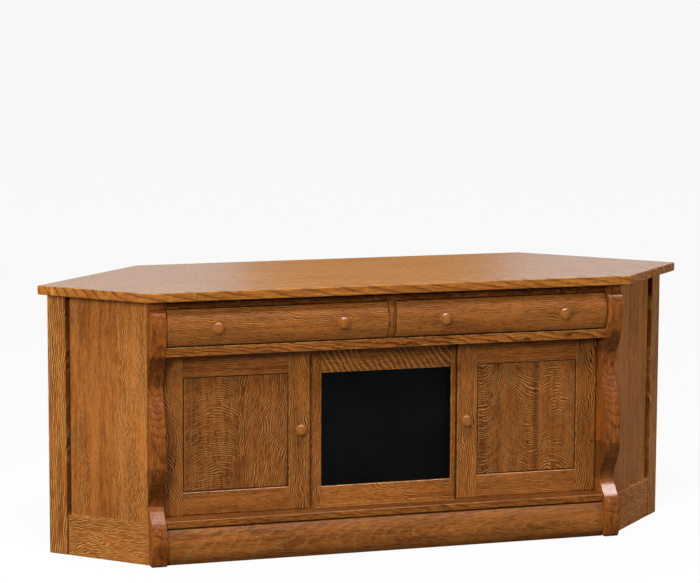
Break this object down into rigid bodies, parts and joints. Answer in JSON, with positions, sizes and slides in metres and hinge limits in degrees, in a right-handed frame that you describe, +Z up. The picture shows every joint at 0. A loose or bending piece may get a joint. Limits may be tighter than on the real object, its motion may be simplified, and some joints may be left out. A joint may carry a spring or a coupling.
{
  "type": "corner media cabinet",
  "caption": "Angled corner cabinet in stained oak with S-curved front posts, bow-front drawers above sliding doors, the middle door glazed, and a top cut to stand in a room corner.",
  "frame": {"origin": "middle of the bounding box at floor level", "axes": "+Z up, the front with the drawers and doors faces -Y, +X along the front, to the right for someone facing it"},
  "size_m": [1.9126, 0.6154, 0.762],
  "materials": {
    "case_oak": "quarter-sawn oak with ray flecks, warm brown stain, satin lacquer",
    "panel_oak": "glued oak boards with vertical grain, warm brown stain, satin lacquer",
    "top_oak": "glued oak boards, warm brown stain, semi-gloss lacquer",
    "post_oak": "flat-sawn oak with ring figure on its curved face, warm brown stain, satin lacquer",
    "knob_oak": "turned oak, lighter stain, satin lacquer",
    "inside_board": "oak-veneered board, clear lacquer",
    "drawer_maple": "pale hardwood, clear lacquer",
    "smoked_glass": "dark smoked glass with a bevelled margin"
  },
  "bodies": {
    "case": {"top_slab": "top_oak", "left_sleigh_post": "post_oak", "right_sleigh_post": "post_oak", "left_rear_post": "case_oak", "right_rear_post": "case_oak", "left_side_rail": "case_oak", "right_side_rail": "case_oak", "left_side_panel": "panel_oak", "right_side_panel": "panel_oak", "left_wall_back": "inside_board", "right_wall_back": "inside_board", "centre_back": "inside_board", "base_rail": "case_oak", "sill_rail": "case_oak", "mid_rail": "case_oak", "fascia_rail": "case_oak", "drawer_divider": "case_oak", "bottom_board": "inside_board", "drawer_deck": "inside_board", "drawer_web": "inside_board", "left_drawer_guide": "inside_board", "right_drawer_guide": "inside_board", "left_partition": "inside_board", "right_partition": "inside_board", "left_shelf": "inside_board", "right_shelf": "inside_board", "centre_shelf": "inside_board", "lower_door_guide": "inside_board", "upper_door_guide": "inside_board"},
    "left_door": {"left_door_left_stile": "case_oak", "left_door_right_stile": "case_oak", "left_door_top_rail": "case_oak", "left_door_bottom_rail": "case_oak", "left_door_panel": "panel_oak", "left_door_knob": "knob_oak"},
    "right_door": {"right_door_left_stile": "case_oak", "right_door_right_stile": "case_oak", "right_door_top_rail": "case_oak", "right_door_bottom_rail": "case_oak", "right_door_panel": "panel_oak", "right_door_knob": "knob_oak"},
    "glass_door": {"glass_door_left_stile": "case_oak", "glass_door_right_stile": "case_oak", "glass_door_top_rail": "case_oak", "glass_door_bottom_rail": "case_oak", "glass_door_pane": "smoked_glass"},
    "left_drawer": {"left_drawer_front": "case_oak", "left_drawer_left_side": "drawer_maple", "left_drawer_right_side": "drawer_maple", "left_drawer_back": "drawer_maple", "left_drawer_bottom": "drawer_maple", "left_drawer_left_knob": "knob_oak", "left_drawer_right_knob": "knob_oak"},
    "right_drawer": {"right_drawer_front": "case_oak", "right_drawer_left_side": "drawer_maple", "right_drawer_right_side": "drawer_maple", "right_drawer_back": "drawer_maple", "right_drawer_bottom": "drawer_maple", "right_drawer_left_knob": "knob_oak", "right_drawer_right_knob": "knob_oak"}
  },
  "joints": [
    {"name": "left_door_slide", "type": "slide", "parent": "case", "child": "left_door", "axis": [1, 0, 0], "range_m": [0, 0.215]},
    {"name": "right_door_slide", "type": "slide", "parent": "case", "child": "right_door", "axis": [1, 0, 0], "range_m": [-0.215, 0]},
    {"name": "glass_door_slide", "type": "slide", "parent": "case", "child": "glass_door", "axis": [1, 0, 0], "range_m": [-0.405, 0.373]},
    {"name": "left_drawer_slide", "type": "slide", "parent": "case", "child": "left_drawer", "axis": [0, -1, 0], "range_m": [0, 0.34]},
    {"name": "right_drawer_slide", "type": "slide", "parent": "case", "child": "right_drawer", "axis": [0, -1, 0], "range_m": [0, 0.34]}
  ]
}
